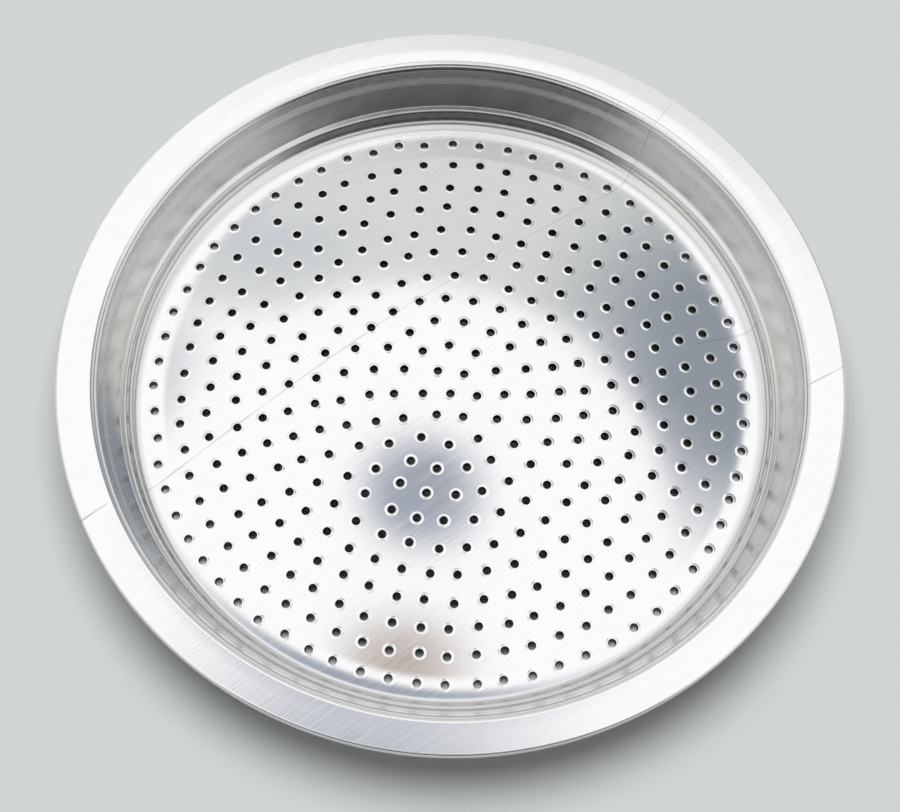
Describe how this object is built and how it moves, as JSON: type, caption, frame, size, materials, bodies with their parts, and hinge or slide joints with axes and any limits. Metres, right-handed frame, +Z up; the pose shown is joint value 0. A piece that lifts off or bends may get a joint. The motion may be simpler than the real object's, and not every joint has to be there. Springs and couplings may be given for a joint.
{
  "type": "espresso shower screen",
  "caption": "Round pressed dish with a flat rim and a low crowned bottom, pierced all over by rings of fine holes, that spreads hot water over ground coffee.",
  "frame": {"origin": "centre of the circle on which the dish stands, at the underside of the flat land round its crowned bottom", "axes": "+Z up along the dish's axis, from the pierced bottom to the flat rim; X and Y lie in the plane of the rim"},
  "size_m": [0.058, 0.058, 0.0057],
  "materials": {
    "aluminium_sheet": "bright rolled sheet with fine lines along the rolling direction"
  },
  "bodies": {
    "root": {"shower_screen": "aluminium_sheet"}
  },
  "joints": []
}
